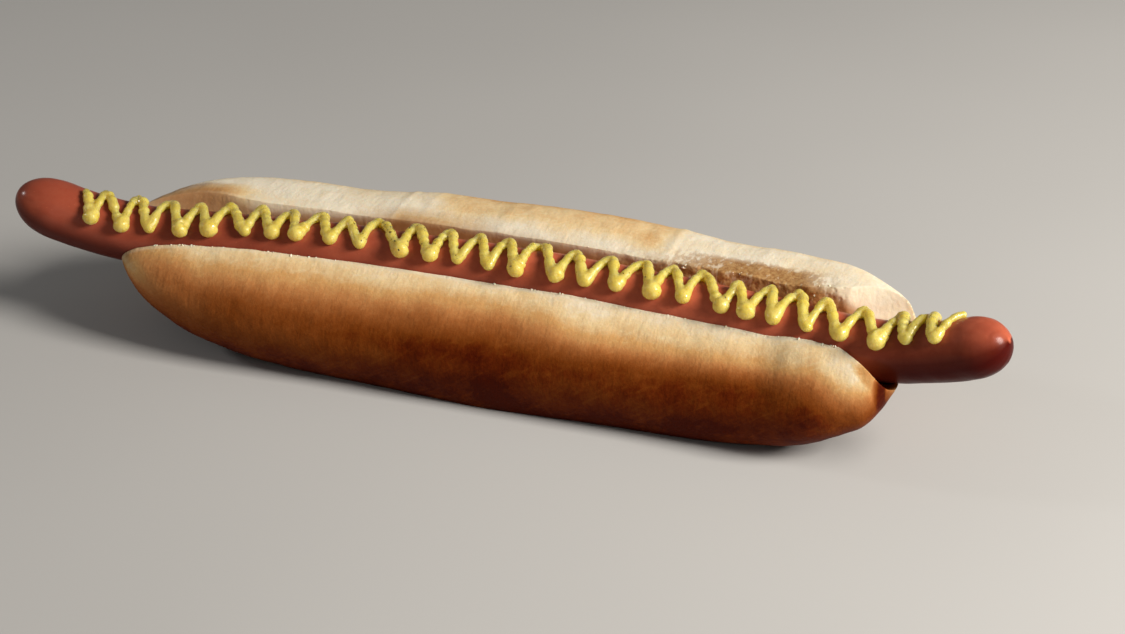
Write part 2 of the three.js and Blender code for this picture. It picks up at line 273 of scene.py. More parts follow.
def points_and_normals(piece):
    """A piece's points in millimetres, in the sausage's own frame, and their outward normals."""
    read = np.empty((2, len(piece.data.vertices) * 3))
    piece.data.vertices.foreach_get("co", read[0])
    piece.data.vertices.foreach_get("normal", read[1])
    points, normals = read.reshape(2, -1, 3)
    return points / MM + MIDDLE, normals


def mark(piece, name, values):
    """Stores one number for each point, for the materials to read."""
    attribute = piece.data.attributes.new(name, "FLOAT", "POINT")
    attribute.data.foreach_set("value", np.asarray(values, np.float32))


def apply_modifiers(piece):
    """Makes the modifiers' result the piece's own mesh."""
    graph = bpy.context.evaluated_depsgraph_get()
    mesh = bpy.data.meshes.new_from_object(piece.evaluated_get(graph), depsgraph=graph)
    old = piece.data
    piece.modifiers.clear()
    piece.data = mesh
    bpy.data.meshes.remove(old)


# ----- sausage

def centre_line(x):
    """The sausage's centre line at x: a parabola in plan, lifted past a start at each end."""
    s = SAUSAGE
    past_left = np.maximum(0, s.lift_left_start - x) / s.lift_reach
    past_right = np.maximum(0, x - s.lift_right_start) / s.lift_reach
    lift = s.lift_left * past_left ** 2 + s.lift_right * past_right ** 2
    y = -(x ** 2) / (2 * s.bend)
    z = s.height + lift - s.sag * (x / s.sag_reach) ** 2
    return np.stack([x + 0 * y, y, z], -1)


def centre_frame(x):
    """Unit vectors at x: along the centre line, square to its front, and square upwards."""
    step = 0.5
    along = unit(centre_line(x + step) - centre_line(x - step))
    front = unit(np.cross(along, [0.0, 0.0, 1.0]))
    return along, front, np.cross(front, along)


def beside_line(points):
    """How far places lie behind the sausage's centre line, and how high over it."""
    off = points - centre_line(points[:, 0])
    return off[:, 1], off[:, 2]


def body_radius(x):
    """The sausage's radius in its straight part at x."""
    s = SAUSAGE
    share = (x - s.left) / (s.right - s.left)
    return s.radius_left + (s.radius_right - s.radius_left) * share


def round_sausage(x, angle, distance):
    """Points at an angle round the sausage (0 = front, 90 degrees = top) and a distance out."""
    _, front, up = centre_frame(x)
    across = (distance * np.cos(angle))[..., None]
    upward = (distance * np.sin(angle))[..., None]
    return centre_line(x) + front * across + up * upward


def tip_wrinkles(x, angle):
    """Fine folds of the skin that run to each tip, and one crease above the right tip's middle."""
    s = SAUSAGE
    near_right = smooth(s.right - 12, s.right + 6, x)
    near_left = smooth(s.left + 14, s.left - 8, x)
    folds = np.sin(13 * angle + 0.5 * x) * 0.6 + np.sin(21 * angle - 0.31 * x + 1.3) * 0.4
    crease = hill(s.right + 6.8, 0.35, x + 0.8 * np.sin(3 * angle)) * hill(0.95, 0.4, angle)
    return 0.07 * folds * (near_right + 0.8 * near_left) - 0.2 * crease


def mark_skin(piece, x, angle):
    """Stores how much painted shade darkens each place of the skin, and how ripe it is, and last
    that of its two tips.
    """
    up = np.degrees(np.arctan2(np.sin(angle), np.cos(angle)))
    up = np.where(up < -90, -180 - up, up)
    # Painted shade: the skin is made darker low down past the bun's ends and on the right overhang.
    painted_shade_right = smooth(*SKIN.painted_shade_right, x) * read_off(up, SKIN.shade)
    painted_shade_left = smooth(*SKIN.painted_shade_left, x) * smooth(*SKIN.painted_shade_left_below, up)
    dark = painted_shade_right + SKIN.painted_shade_left_share * painted_shade_left
    mark(piece, "dark", np.append(dark.ravel(), [0.0, 0.0]))
    mark(piece, "ripe", np.append(smooth(*SKIN.ripe, x).ravel(), [0.0, 1.0]))


def make_sausage(material):
    """The skin: round rings square to the centre line, each end narrowing as a power curve,
    with low lumps and the tips' wrinkles on its radius."""
    s = SAUSAGE
    tip_left = s.left - s.radius_left
    tip_right = s.right + s.radius_right
    share = np.arange(1, s.stations) / s.stations
    crowd = share - s.crowding * np.sin(TAU * share) / TAU
    x = (tip_left + (tip_right - tip_left) * crowd)[:, None]
    from_left = np.minimum(1, (x - tip_left) / s.cap_left)
    from_right = np.minimum(1, (tip_right - x) / s.cap_right)
    narrow_left = np.sqrt(1 - (1 - from_left) ** s.power_left)
    narrow_right = np.sqrt(1 - (1 - from_right) ** s.power_right)
    angle = (-TAU * np.arange(s.sides) / s.sides)[None, :]
    x, angle = np.broadcast_arrays(x, angle)
    radius = body_radius(x) * narrow_left * narrow_right
    lumps = layered(round_sausage(x, angle, radius), SKIN_LUMPS)
    relief = (lumps + tip_wrinkles(x, np.mod(angle, TAU))) * narrow_left * narrow_right
    rings = round_sausage(x, angle, radius + relief)
    ends = centre_line(np.array([tip_left, tip_right]))
    piece = put_rings("sausage_skin", rings, ends, material)
    mark_skin(piece, x, angle)
    return piece


# ----- mustard

def varied(quantity, k):
    """A quantity that wanders from loop to loop, at loop k."""
    mean, rise, parts = quantity
    return mean + rise * k + sum(size * np.sin(rate * k + phase) for size, rate, phase in parts)


def mustard_turns():
    """The bead's turns in order: x, angle, radius, and 1 for a lower turn."""
    m = MUSTARD
    k = np.arange(m.loops)
    low_x = varied(LOWER_X, k)
    high_x = low_x + varied(UPPER_SHARE, k) * (varied(LOWER_X, k + 1) - low_x)
    drop = np.maximum(m.least_drop, varied(DROP_RADIUS, k))
    low = np.stack([low_x, varied(LOWER_ANGLE, k), drop, 0 * k + 1], -1)
    high = np.stack([high_x, varied(UPPER_ANGLE, k), varied(HOOK_RADIUS, k), 0 * k], -1)
    between = np.stack([low, high], 1).reshape(-1, 4)[:-1]
    start = [low_x[0] - m.start_before, m.start_angle, m.start_radius, 0]
    finish = [low_x[-1] + m.finish_past, m.finish_angle, m.finish_radius, 0]
    turns = np.concatenate([[start], between, [finish]])
    turns[:, 1] = np.radians(turns[:, 1])
    return turns


def stroke_path(start, end):
    """Places and radii along one stroke: x runs evenly, the angle eases at both turns, and the
    radius swells towards each turn as a bell."""
    m = MUSTARD
    t = np.linspace(0, 1, m.stroke_steps, endpoint=False)
    thin = m.down_radius if end[3] else m.up_radius
    length = math.hypot(end[0] - start[0], body_radius(start[0]) * (end[1] - start[1]))
    eased = t + m.easing * ((1 - np.cos(np.pi * t)) / 2 - t)
    x = start[0] + (end[0] - start[0]) * t
    angle = start[1] + (end[1] - start[1]) * eased
    reach = [m.drop_reach if turn[3] else m.hook_reach for turn in (start, end)]
    radius = thin + ((start[2] - thin) * hill(0, reach[0], length * t)
                     + (end[2] - thin) * hill(0, reach[1], length * (1 - t)))
    return round_sausage(x, angle, body_radius(x) + m.bedding * radius), radius


def soften(values, sigma):
    """A Gaussian running mean along the first axis, sigma in samples, with the ends held."""
    reach = int(3 * sigma) + 1
    weights = np.exp(-0.5 * (np.arange(-reach, reach + 1) / sigma) ** 2)
    weights /= weights.sum()
    padded = np.concatenate([values[:1].repeat(reach, 0), values, values[-1:].repeat(reach, 0)])
    columns = padded.reshape(len(padded), -1).T
    softened = [np.convolve(column, weights, "valid") for column in columns]
    return np.stack(softened, -1).reshape(values.shape)


def bead_path():
    """The whole bead as one path: every stroke joined, resampled evenly and softened a little."""
    m = MUSTARD
    turns = mustard_turns()
    strokes = [stroke_path(start, end) for start, end in zip(turns[:-1], turns[1:])]
    centres, radii = (np.concatenate(parts) for parts in zip(*strokes))
    walked = np.concatenate([[0], np.cumsum(np.linalg.norm(np.diff(centres, axis=0), axis=1))])
    even = np.arange(0, walked[-1], m.spacing)
    centres = np.stack([np.interp(even, walked, centres[:, k]) for k in range(3)], -1)
    radii = np.interp(even, walked, radii)
    centres = soften(centres, m.soft_path / m.spacing)
    radii = soften(radii, m.soft_radius / m.spacing)
    return centres, radii * layered(centres, BEAD_LUMPS, 1) + m.smoothing_loss


def tube_rings(centres, radii, sides):
    """Rings of a tube along a path, domed at both ends, and its two end points. Each ring's side
    is square to the path and to the sausage's outward direction."""
    along = unit(np.gradient(centres, axis=0))
    outwards = centres - centre_line(centres[:, 0])
    side = unit(np.cross(outwards, along))
    top = np.cross(along, side)
    last = len(centres) - 1
    dome = np.linspace(0, np.pi / 2, MUSTARD.dome_steps + 1)[1:-1]
    index = np.concatenate([0 * dome, np.arange(last + 1), 0 * dome + last]).astype(int)
    bow = np.concatenate([-dome[::-1], np.zeros(last + 1), dome])
    radius = radii[index]
    middle = centres[index] + along[index] * (np.sin(bow) * radius)[:, None]
    turn = (-TAU * np.arange(sides) / sides)[:, None]
    spoke = side[index][:, None] * np.cos(turn) - top[index][:, None] * np.sin(turn)
    rings = middle[:, None] + spoke * (np.cos(bow) * radius)[:, None, None]
    ends = centres[[0, -1]] + along[[0, -1]] * (radii[[0, -1]] * [-1, 1])[:, None]
    return rings, ends


def make_mustard(material):
    """The bead: a tube along its path, whose strokes are then run together by a fine remesh and
    smoothed, so that they merge at the turns as sauce does."""
    m = MUSTARD
    centres, radii = bead_path()
    rings, ends = tube_rings(centres, radii, m.sides)
    piece = put_rings("mustard_bead", rings, ends, material)
    remesh = piece.modifiers.new("run_together", "REMESH")
    remesh.mode = "VOXEL"
    remesh.voxel_size = m.voxel * MM
    remesh.use_smooth_shade = True
    smoothing = piece.modifiers.new("wet_surface", "SMOOTH")
    smoothing.factor = 0.5
    smoothing.iterations = m.smoothing_steps
    apply_modifiers(piece)
    piece.data.shade_smooth()
    return piece


# ----- bread

def swell_at(x, angle):
    """How far the crust swells out or is dented: bells along the bun and round its section."""
    total = np.zeros(np.broadcast(x, angle).shape)
    for centre, towards, rise, reach in SWELLS:
        off = angle - math.radians(towards)
        off = np.arctan2(np.sin(off), np.cos(off)) / BUN.swell_spread
        total += rise * np.exp(-(((x - centre) / reach) ** 2) - off ** 2)
    return total


def section_centre(share):
    """The bun's section at a share of its half length, from -1 to 1: its size, 1 amidships and 0
    at a tip, and its centre's place behind the sausage's centre line and height."""
    b = BUN
    tip = {key: np.where(share < 0, TIP_LEFT[key], TIP_RIGHT[key]) for key in TIP_LEFT}
    size = np.sqrt(np.maximum(0, 1 - np.abs(share) ** tip["bluntness"]))
    towards_tip = (1 - size) ** tip["ease"]
    back = b.centre_back + (tip["back"] - b.centre_back) * towards_tip
    height = b.centre_height + (tip["height"] - b.centre_height) * towards_tip
    return size, back, height


def bun_place(share, angle):
    """Points of the uncut bun: a superellipse, rolled about its length, that shrinks towards a
    tip at each end; share runs from -1 to 1 along it."""
    b = BUN
    size, centre_y, centre_z = section_centre(share)
    x = b.middle + b.half_length * share
    across = np.cos(angle)
    upward = np.sin(angle)
    power = 2 / b.section
    half_width = np.where(across < 0, b.front, b.back)
    half_height = np.where(upward > 0, b.up, b.down)
    swell = swell_at(x, angle)
    w = size * (half_width * signed_power(across, power) + swell * across)
    h = size * (half_height * signed_power(upward, power) + swell * upward)
    line = centre_line(x)
    y = line[..., 1] + centre_y + w * math.cos(b.roll) - h * math.sin(b.roll)
    z = centre_z + w * math.sin(b.roll) + h * math.cos(b.roll)
    return np.stack(np.broadcast_arrays(x, y, z), -1)


def crust_relief(points):
    """Fine height of the crust: creases across the back wall, soft mottled lumps all over."""
    x, y, z = np.moveaxis(points, -1, 0)
    behind = smooth(2, 12, y - centre_line(x)[..., 1]) * smooth(16, 30, z)
    relief = layered(points, CRUST_LUMPS)
    for place, depth, width, lean in CREASES:
        relief -= depth * hill(place, width, x - lean * (z - CREST_HEIGHT)) * behind
    return relief


def back_wall(x, height):
    """How far the back cut face stands off the sausage at a height over its centre line: a
    steady lean, more of it at both ends, a soft rounding towards the crest, and an outward turn
    at the right end."""
    s = SLOT
    ends = smooth(*s.lean_right, x) + smooth(*s.lean_left, x)
    lean = s.back_lean + s.end_lean * ends
    past = np.maximum(0, x - s.end_flare_start)
    turned = s.end_flare * past * smooth(*s.end_flare_height, height)
    return lean * height + turned + s.rounding * np.maximum(0, height - s.round_from) ** 2


def torn_stretch(x):
    """1 where the back cut face is torn, 0 where it is smooth, along the bun."""
    return smooth(*SLOT.torn_from, x) * smooth(*SLOT.torn_to, x)


def front_flare(x):
    """How far the front cut face turns outwards towards the bun's right end."""
    return SLOT.flare * np.maximum(0, x - SLOT.flare_start)


def make_uncut_bun():
    """The bread before it is cut: sections from tip to tip, their points crowded at the top, with
    relief on the crust, pressed flat where it would pass below z = 0."""
    b = BUN
    share = -np.cos(np.pi * np.arange(1, b.stations) / b.stations)
    around = (np.arange(b.sides) + 0.5) / b.sides
    angle = np.pi / 2 + TAU * around - b.crowding * np.sin(TAU * around)
    share, angle = np.broadcast_arrays(share[:, None], angle[None, :])
    points = bun_place(share, angle)
    below = np.roll(points, 1, 1) - np.roll(points, -1, 1)
    along = np.gradient(points, axis=0)
    normal = np.cross(below, along)
    normal /= np.maximum(np.linalg.norm(normal, axis=-1, keepdims=True), 1e-9)
    lift = crust_relief(points) * smooth(*b.relief_height, points[..., 2])
    points = points + normal * lift[..., None]
    points[..., 2] = np.maximum(points[..., 2], 0)
    tips = bun_place(np.array([-1.0, 1.0]), np.array([0.0, 0.0]))
    return put_rings("bun_bread", points, tips)


def torn(points, seed):
    """Depth of torn crumb: rounded lumps with sharper pits between them."""
    lumps = waves(points, 4.5, seed)
    pits = 1 - np.abs(waves(points, 2.0, seed + 1))
    fine = waves(points, 1.2, seed + 2)
    return 0.3 * lumps + 0.28 * np.maximum(0, pits) ** 2 + 0.1 * fine


def make_cutter():
    """The slot's cutter: a trough round the sausage with two leaning walls, their faces torn."""
    s = SLOT
    start = BUN.middle - BUN.half_length - s.past_ends
    end = BUN.middle + BUN.half_length + s.past_ends
    x = np.linspace(start, end, s.stations)[:, None]
    reach = body_radius(x) + s.gap
    flare = front_flare(x)
    arc = np.pi + np.pi * np.arange(s.arc_steps + 1)[None, :] / s.arc_steps
    arc_y = reach * np.cos(arc) + flare * np.minimum(0, np.cos(arc))
    arc_z = reach * np.sin(arc)
    up = np.linspace(0, s.wall, s.back_steps + 1)[None, 1:]
    down = np.linspace(s.wall, 0, s.front_steps + 1)[None, :-1]
    top = np.full((1, 1), float(s.top))
    back_z = np.concatenate([up, top], 1) + 0 * x
    front_z = np.concatenate([top, down], 1) + 0 * x
    back_y = reach + back_wall(x, back_z)
    front_y = -reach - flare - s.front_lean * front_z
    y = np.concatenate([arc_y, back_y, front_y], 1)
    z = np.concatenate([arc_z, back_z, front_z], 1)
    line = centre_line(x[:, 0])[:, None]
    rings = np.stack([np.broadcast_to(x, y.shape), line[..., 1] + y, line[..., 2] + z], -1)
    behind = y > 0
    height = smooth(*s.torn_height, z)
    roughness = np.where(behind, s.smooth_share + s.torn_share * torn_stretch(x), 1.0)
    depth = np.where(behind, torn(rings, 31), torn(rings, 41)) * height * roughness
    rings[..., 1] += np.sign(y) * np.maximum(depth, s.least_depth)
    inner = centre_line(np.array([start, end])) + [0, 0, s.inner_height]
    return put_rings("slot_cutter", rings, inner)


def slot_distance(points):
    """How far a place lies from the cut faces, before they were torn, in millimetres."""
    s = SLOT
    x = points[:, 0]
    y, z = beside_line(points)
    reach = body_radius(x) + s.gap
    flare = front_flare(x)
    back = np.abs(y - reach - back_wall(x, z))
    front = np.abs(-y - reach - flare - s.front_lean * z)
    squeezed = np.where(y < 0, y * reach / (reach + flare), y)
    bottom = np.abs(np.hypot(squeezed, z) - reach)
    return np.where(z < 0, bottom, np.where(y > 0, back, front))


def section_angle(points):
    """The angle round the bun's rolled section, in degrees, of places on its crust."""
    b = BUN
    share = np.clip((points[:, 0] - b.middle) / b.half_length, -1, 1)
    _, centre_y, centre_z = section_centre(share)
    y = points[:, 1] - centre_line(points[:, 0])[:, 1] - centre_y
    z = points[:, 2] - centre_z
    w = y * math.cos(b.roll) + z * math.sin(b.roll)
    h = z * math.cos(b.roll) - y * math.sin(b.roll)
    w = w / np.where(w < 0, b.front, b.back)
    h = h / np.where(h > 0, b.up, b.down)
    power = b.section / 2
    return np.degrees(np.arctan2(signed_power(h, power), signed_power(w, power))) % 360


def front_bake_and_shade(x, angle):
    """How baked the front is, with painted shade low down: by the angle round it, with patches, a
    painted shadow of the sausage's right end on the front wall's end, and beyond that a pale hinge
    that joins the back wall."""
    later = read_off(x, BAKE_AND_SHADE.late) + read_off(x, BAKE_AND_SHADE.later_above) * smooth(144, 126, angle)
    baked = read_off(angle - later, BAKE_AND_SHADE.down_front)
    baked *= 1 - read_off(x, BAKE_AND_SHADE.paler) * hill(*BAKE_AND_SHADE.paler_front, angle)
    for share, centre, reach, towards, spread in BAKE_AND_SHADE_PATCHES:
        baked += share * hill(centre, reach, x) * hill(towards, spread, angle)
    baked += 0.1 * hill(92, 15, x) * smooth(128, 108, angle)
    hinge = smooth(*BAKE_AND_SHADE.hinge, x)
    # Painted shadow that the sausage's right end casts on the front wall's end.
    turn = smooth(*BAKE_AND_SHADE.turn, x) * smooth(*BAKE_AND_SHADE.turn_end, x) * smooth(128, 160, angle)
    return np.maximum(baked * (1 - hinge) + BAKE_AND_SHADE.hinge_bake * hinge, BAKE_AND_SHADE.turn_painted_shadow * turn)


def crest_zones(x, wander, down):
    """Golden zones of the back wall's crest, by degrees down from its edge: a long one amidships
    whose ends wander, one round the left end, a streak on its edge and a spot."""
    crest = smooth(66, 48, down)
    amidships = smooth(-36, -22, wander) * smooth(47, 37, wander) * crest * smooth(6, 24, down)
    left_end = smooth(-78, -104, x) * crest * smooth(32, 14, down)
    streak = smooth(-46, -38, x) * smooth(-10, -30, x) * smooth(18, 5, down)
    spot = hill(37, 5, x) * hill(20, 12, down)
    return 0.17 * amidships + 0.36 * left_end + 0.2 * streak + 0.1 * spot


def crust_bake_and_shade(points):
    """How baked the crust is, 0 to 1: cream beside the cut, brown low down, partly as painted shade,
    and pale further down the sides towards both ends."""
    x = points[:, 0]
    angle = section_angle(points)
    down = (80 - angle) % 360
    back = read_off(down - BAKE_AND_SHADE.late_behind * read_off(x, BAKE_AND_SHADE.late), BAKE_AND_SHADE.down_back)
    back *= 1 - read_off(x, BAKE_AND_SHADE.paler) * hill(*BAKE_AND_SHADE.paler_back, down)
    back += crest_zones(x, x + 1.5 * waves(points, 12, 17), down)
    in_front = (angle > 90) & (angle < 270)
    return np.clip(np.where(in_front, front_bake_and_shade(x, angle), back), 0, 1)


def wall_tan_and_shade(points):
    """How tan the bread beside the back wall is, 0 to 1: cream at its crest, tan beside the
    sausage, up to a height that differs from stretch to stretch. The tan is partly the crumb's own,
    and partly painted shade where the sausage shades the wall."""
    x = points[:, 0]
    off_line, height = beside_line(points)
    rim = read_off(x, TAN.heights)
    below_rim = smooth(rim + TAN.softness, rim - TAN.softness, height)
    near = smooth(*TAN.near, slot_distance(points)) * (off_line > 0)
    return below_rim * near * (1 - TAN.paler * smooth(*TAN.paler_at, x))


def mark_bread(piece):
    """Stores how cut, how baked, how tan, how torn and how frayed each place of the bread is.
    The bake and the tan both hold painted shade as well as the bread's own colour. Beside the cut at
    the right end of the front wall the crust turns in over the edge."""
    m = MARKS
    points, _ = points_and_normals(piece)
    x = points[:, 0]
    off_line, _ = beside_line(points)
    gap = slot_distance(points)
    wall = np.abs(off_line) < m.walls
    behind = off_line > 0
    torn_here = torn_stretch(x)
    rough_front = 0.35 + 0.65 * smooth(*m.front_rough, x)
    rough = np.where(behind, 0.2 + 0.8 * torn_here, rough_front)
    turned_in = smooth(*m.turned_in, x) * ~behind * smooth(*m.turned_gap, gap) * wall
    bare = (1 - turned_in) * rough * wall
    mark(piece, "cut", smooth(*m.cut, gap) * (points[:, 2] > m.cut_above) * bare)
    mark(piece, "bake_and_shade", np.maximum(crust_bake_and_shade(points), m.turned_bake * turned_in))
    mark(piece, "tan_and_shade", wall_tan_and_shade(points))
    mark(piece, "torn", torn_here)
    mark(piece, "edge", smooth(*m.edge, gap) * bare)


def make_bun(material):
    """The bread: the uncut bun with the slot cut out of it, and its marks for the material."""
    piece = make_uncut_bun()
    cutter = make_cutter()
    cut = piece.modifiers.new("slot", "BOOLEAN")
    cut.operation = "DIFFERENCE"
    cut.object = cutter
    cut.solver = "MANIFOLD"
    apply_modifiers(piece)
    bpy.data.meshes.remove(cutter.data)
    piece.data.materials.clear()
    piece.data.materials.append(material)
    piece.data.shade_smooth()
    mark_bread(piece)
    return piece


# ----- loose bits

def pebble():
    """A ball's points and faces: a point at the top, three rings of six, and a point below."""
    sides = 6
    turn = TAU * np.arange(sides) / sides
    latitude = np.radians([50, 0, -50])[:, None]
    rings = [np.cos(latitude) * np.cos(turn), np.cos(latitude) * np.sin(turn), np.sin(latitude)]
    rings = np.stack(np.broadcast_arrays(*rings), -1).reshape(-1, 3)
    points = np.concatenate([[[0, 0, 1]], rings, [[0, 0, -1]]])
    last = len(points) - 1
    side = np.arange(sides)
    following = (side + 1) % sides
    a = 1 + side + np.array([[0], [sides]])
    b = 1 + following + np.array([[0], [sides]])
    above = corners(0, 1 + side, 1 + following)
    round_it = corners(a, a + sides, b + sides, a, b + sides, b).reshape(-1, 3)
    below = corners(last, last - sides + following, last - sides + side)
    return points, np.concatenate([above, round_it, below])


def bits(at, outwards, sizes, kind):
    """One small pebble for each place, turned, stretched and dented at random, and pressed flat
    along its outward direction. Returns points and faces."""
    rng = np.random.default_rng(kind.seed + 1)
    ball, faces = pebble()
    side = unit(np.cross(outwards, rng.normal(size=outwards.shape)))
    other = np.cross(outwards, side)
    dents = 1 + kind.lumpiness * rng.uniform(-1, 1, (len(at), len(ball)))
    stretch = rng.uniform(0.7, 1.4, (len(at), 1, 1))
    local = ball[None] * dents[..., None] * sizes[:, None, None]
    points = at[:, None]
    points = points + local[..., 0:1] * side[:, None] * stretch
    points = points + local[..., 1:2] * other[:, None] / stretch
    points = points + local[..., 2:3] * outwards[:, None] * kind.flatness
    every_face = faces[None] + (np.arange(len(at)) * len(ball))[:, None, None]
    return points.reshape(-1, 3), every_face.reshape(-1, 3)


def scatter(name, points, normals, chance, kind, material):
    """Bits of a kind on a piece's points, picked at random by each point's chance."""
    rng = np.random.default_rng(kind.seed)
    picked = rng.choice(len(points), kind.count, replace=False, p=chance / chance.sum())
    share = rng.uniform(0, 1, len(picked)) ** kind.skew
    sizes = kind.least + (kind.most - kind.least) * share
    outwards = unit(normals[picked])
    sunk = points[picked] - kind.sunk * normals[picked]
    scattered, faces = bits(sunk, outwards, sizes, kind)
    piece = put_mesh(name, scattered, faces.tolist(), material)
    piece.data.shade_flat()
    return piece


def make_flecks(bead, material):
    """Dark flecks of seed in the mustard: most of them lie together in a few loops."""
    points, normals = points_and_normals(bead)
    off_line = np.linalg.norm(points - centre_line(points[:, 0]), axis=1)
    showing = (normals[:, 2] > 0.1) & (off_line > 9.6)
    chance = hills(points[:, 0], FLECKS.crowds, FLECKS.spread) * showing
    return scatter("mustard_flecks", points, normals, chance, FLECKS, material)


def make_crumbs(bread, material):
    """White torn crumbs that cling along the front wall's upper edge, and in clumps on the torn
    stretch of the back wall."""
    c = CRUMBS
    points, normals = points_and_normals(bread)
    x = points[:, 0]
    off_line, height = beside_line(points)
    behind = off_line > 0
    gap = slot_distance(points)
    near_edge = np.abs(section_angle(points) - c.edge_angle) < c.edge_reach
    on_edge = ~behind & (gap < c.edge_gap) & (height > -4) & near_edge
    on_back = behind & (gap < c.back_gap) & (height > c.back_height)
    clumps = smooth(-0.1, 1.2, waves(points, 9, 14)) * (0.2 + hill(11.5, 2.5, height))
    chance = on_edge * hills(x, c.crowds, c.spread) + on_back * torn_stretch(x) * clumps
    return scatter("bun_crumbs", points, normals, chance, c, material)


# ----- materials

# The crust's colours from cream to dark brown: how baked, then display colour. The darkest browns
# also stand for painted shade low down on the front.
CRUST_COLOURS = [
    (0.0, (240, 228, 204)), (0.15, (236, 207, 158)), (0.30, (215, 164, 104)),
    (0.45, (193, 130, 76)), (0.60, (166, 100, 51)), (0.75, (141, 76, 30)),
    (0.87, (121, 58, 14)), (0.94, (100, 37, 5)), (1.0, (76, 19, 2)),
]


def paint(red, green, blue):
    """A display colour of 0 to 255 as the linear colour that a shader takes."""
    share = np.array([red, green, blue]) / 255
    linear = np.where(share <= 0.04045, share / 12.92, ((share + 0.055) / 1.055) ** 2.4)
    return (*linear.tolist(), 1.0)


class Graph:
    """Adds nodes to one tree and joins their sockets."""

    def __init__(self, tree):
        self.tree = tree

    def node(self, kind, inputs=(), **settings):
        """A node with its settings, and its inputs given as numbers, colours or sockets."""
        node = self.tree.nodes.new(kind)
        for name, value in settings.items():
            setattr(node, name, value)
        self.feed(node, inputs)
        return node

    def feed(self, node, inputs):
        """Sets a node's inputs, or joins other nodes' outputs to them."""
        for name, value in dict(inputs).items():
            if isinstance(value, bpy.types.NodeSocket):
                self.tree.links.new(value, node.inputs[name])
            else:
                node.inputs[name].default_value = value

    def maths(self, operation, *values, clamp=False):
        """The result of a Math node."""
        inputs = dict(enumerate(values))
        return self.node("ShaderNodeMath", inputs, operation=operation, use_clamp=clamp).outputs[0]

    def times(self, first, second):
        """The product of two numbers."""
        return self.maths("MULTIPLY", first, second)

    def swing(self, mask, width):
        """A mask of 0 to 1 as a change of half a width down to half a width up."""
        return self.maths("MULTIPLY_ADD", mask, width, -width / 2)

    def mix(self, share, first, second):
        """A mix of two colours."""
        inputs = {0: share, 6: first, 7: second}
        return self.node("ShaderNodeMix", inputs, data_type="RGBA").outputs[2]

    def ramp(self, share, colours):
        """A colour ramp through (place, display colour) stops."""
        node = self.node("ShaderNodeValToRGB", {"Fac": share})
        elements = node.color_ramp.elements
        while len(elements) < len(colours):
            elements.new(0.5)
        for element, (place, colour) in zip(elements, colours):
            element.position = place
            element.color = paint(*colour)
        return node.outputs["Color"]

    def attribute(self, name):
        """A number stored on the mesh's points."""
        return self.node("ShaderNodeAttribute", attribute_name=name).outputs["Fac"]

    def place(self):
        """The place on the piece, in metres."""
        return self.node("ShaderNodeTexCoord").outputs["Object"]

    def soft_range(self, value, low, high, falling=False):
        """A soft rise from 0 at low to 1 at high, or a fall from 1 to 0."""
        inputs = {"Value": value, "From Min": low, "From Max": high,
                  "To Min": float(falling), "To Max": float(not falling)}
        node = self.node("ShaderNodeMapRange", inputs, interpolation_type="SMOOTHSTEP")
        return node.outputs["Result"]

    def bump(self, height, strength, distance):
        """A Bump node's normal, for a distance in millimetres."""
        inputs = {"Height": height, "Strength": strength, "Distance": distance * MM}
        return self.node("ShaderNodeBump", inputs).outputs["Normal"]


def start_group(name, numbers, vectors):
    """A node group with the given inputs and one output, Mask. Returns its Graph and inputs."""
    tree = bpy.data.node_groups.new(name, "ShaderNodeTree")
    for kind, sockets in (("NodeSocketFloat", numbers), ("NodeSocketVector", vectors)):
        for socket in sockets:
            tree.interface.new_socket(socket, in_out="INPUT", socket_type=kind)
    tree.interface.new_socket("Mask", in_out="OUTPUT", socket_type="NodeSocketFloat")
    g = Graph(tree)
    return g, g.node("NodeGroupInput").outputs


def blotches_group():
    """Soft blotches of a size in millimetres, stretched along an axis: 0 to 1 between Low and
    High of a fractal noise."""
    g, given = start_group("blotches", ["Size", "Detail", "Low", "High"], ["Place", "Stretch"])
    shaped = g.node("ShaderNodeVectorMath", {0: given["Place"], 1: given["Stretch"]},
                    operation="MULTIPLY").outputs[0]
    scale = g.maths("DIVIDE", 1.0, g.times(given["Size"], MM))
    noise = g.node("ShaderNodeTexNoise", {"Vector": shaped, "Scale": scale,
                                          "Detail": given["Detail"], "Roughness": 0.55})
    mask = g.soft_range(noise.outputs["Fac"], given["Low"], given["High"])
    g.node("NodeGroupOutput", {"Mask": mask})
    return g.tree


def pores_group():
    """Round pores of a spacing in millimetres: 1 at a pore's middle, 0 outside its reach."""
    g, given = start_group("pores", ["Spacing", "Reach"], ["Place"])
    scale = g.maths("DIVIDE", 1.0, g.times(given["Spacing"], MM))
    cells = g.node("ShaderNodeTexVoronoi", {"Vector": given["Place"], "Scale": scale})
    mask = g.soft_range(cells.outputs["Distance"], 0.0, given["Reach"], falling=True)
    g.node("NodeGroupOutput", {"Mask": mask})
    return g.tree


BLOTCHES = blotches_group()
PORES = pores_group()


def blotches(g, place, size, low=0.3, high=0.7, detail=3.0, stretch=(1, 1, 1)):
    """The blotches group, placed in a material with its own values."""
    inputs = {"Place": place, "Size": size, "Low": low, "High": high, "Detail": detail,
              "Stretch": stretch}
    return g.node("ShaderNodeGroup", inputs, node_tree=BLOTCHES).outputs["Mask"]


def pores(g, place, spacing, reach):
    """The pores group, placed in a material with its own values."""
    inputs = {"Place": place, "Spacing": spacing, "Reach": reach}
    return g.node("ShaderNodeGroup", inputs, node_tree=PORES).outputs["Mask"]


